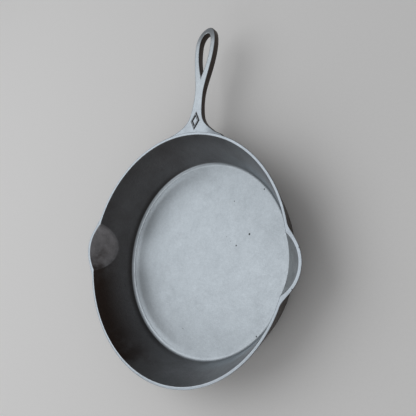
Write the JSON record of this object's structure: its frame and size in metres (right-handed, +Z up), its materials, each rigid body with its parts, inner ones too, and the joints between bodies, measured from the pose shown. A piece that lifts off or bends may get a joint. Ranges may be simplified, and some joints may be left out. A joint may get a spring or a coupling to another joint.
{
  "type": "cast iron skillet",
  "caption": "Round deep skillet with a flared wall, a rounded pour spout on each side and a slim handle ending in a teardrop hanging eye.",
  "frame": {"origin": "centre of the flat underside, on the pan's axis", "axes": "+Z up out of the bowl, +Y along the handle, X through the two pour spouts"},
  "size_m": [0.2796, 0.3829, 0.051],
  "materials": {
    "cooking_floor": "machined smooth, bare, soft sheen",
    "side_wall": "smooth bare iron, lightly seasoned",
    "rim": "ground edge, fine grain",
    "pour_spout": "ground lip, fine grain",
    "handle": "fine sand-cast grain, bare",
    "size_mark": "raised cast line, dark in its corners"
  },
  "bodies": {
    "root": {"cooking_floor": "cooking_floor", "side_wall": "side_wall", "rim_back": "rim", "rim_front": "rim", "pour_spout_left": "pour_spout", "pour_spout_right": "pour_spout", "handle_root": "handle", "handle_shank": "handle", "handle_eye": "handle", "size_mark": "size_mark"}
  },
  "joints": []
}
